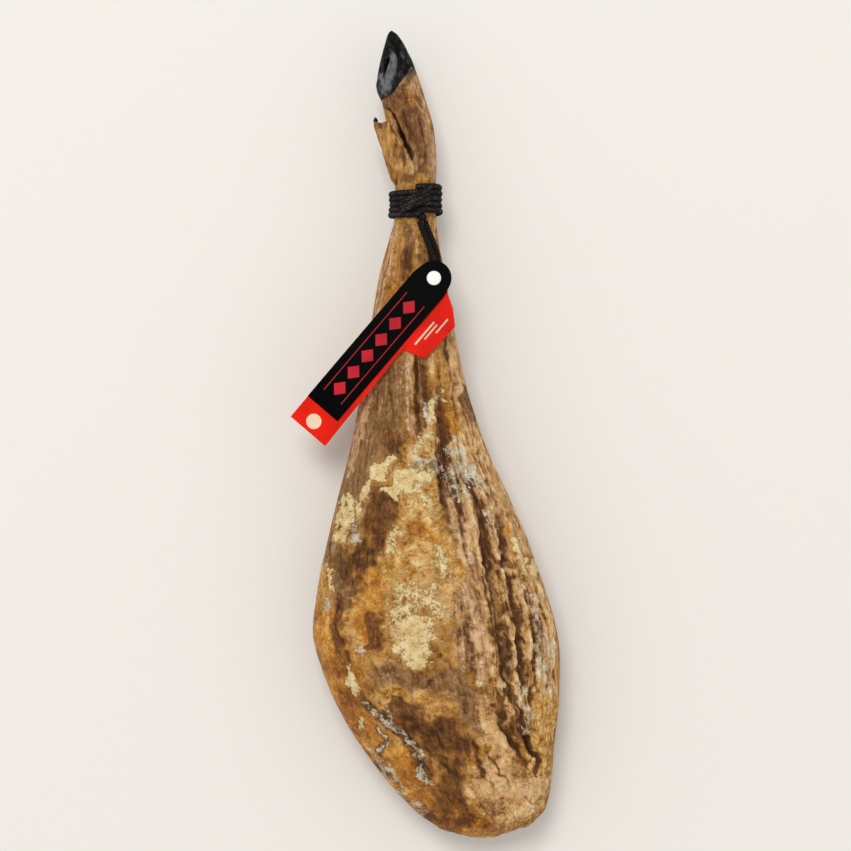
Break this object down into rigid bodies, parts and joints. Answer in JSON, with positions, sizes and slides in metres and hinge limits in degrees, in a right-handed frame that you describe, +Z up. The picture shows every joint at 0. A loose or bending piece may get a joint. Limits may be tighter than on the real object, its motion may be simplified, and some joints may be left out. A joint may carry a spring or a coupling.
{
  "type": "cured ham",
  "caption": "Whole dry-cured ham on the bone, lying on its skin side, with black claws, rope wound round the shank and a printed card label",
  "frame": {"origin": "the middle of the floor area that the ham and its label cover, on the table", "axes": "+Y along the leg from the hip end to the claws, +X across the leg, +Z up from the table to the shown side"},
  "size_m": [0.2683, 0.8084, 0.1269],
  "materials": {
    "rind": "dry, greasy in places",
    "horn": "worn horn",
    "rope": "matt twisted cord",
    "black_card": "satin print",
    "red_card": "satin print",
    "snap": "semi-gloss"
  },
  "bodies": {
    "root": {"ham": "rind", "claw_near": "horn", "claw_far": "horn", "dewclaw": "horn", "rope_wrap": "rope", "tag_strand_near": "rope", "tag_strand_far": "rope", "card_black": "black_card", "card_red": "red_card", "card_side": "red_card", "card_snap": "snap"}
  },
  "joints": []
}
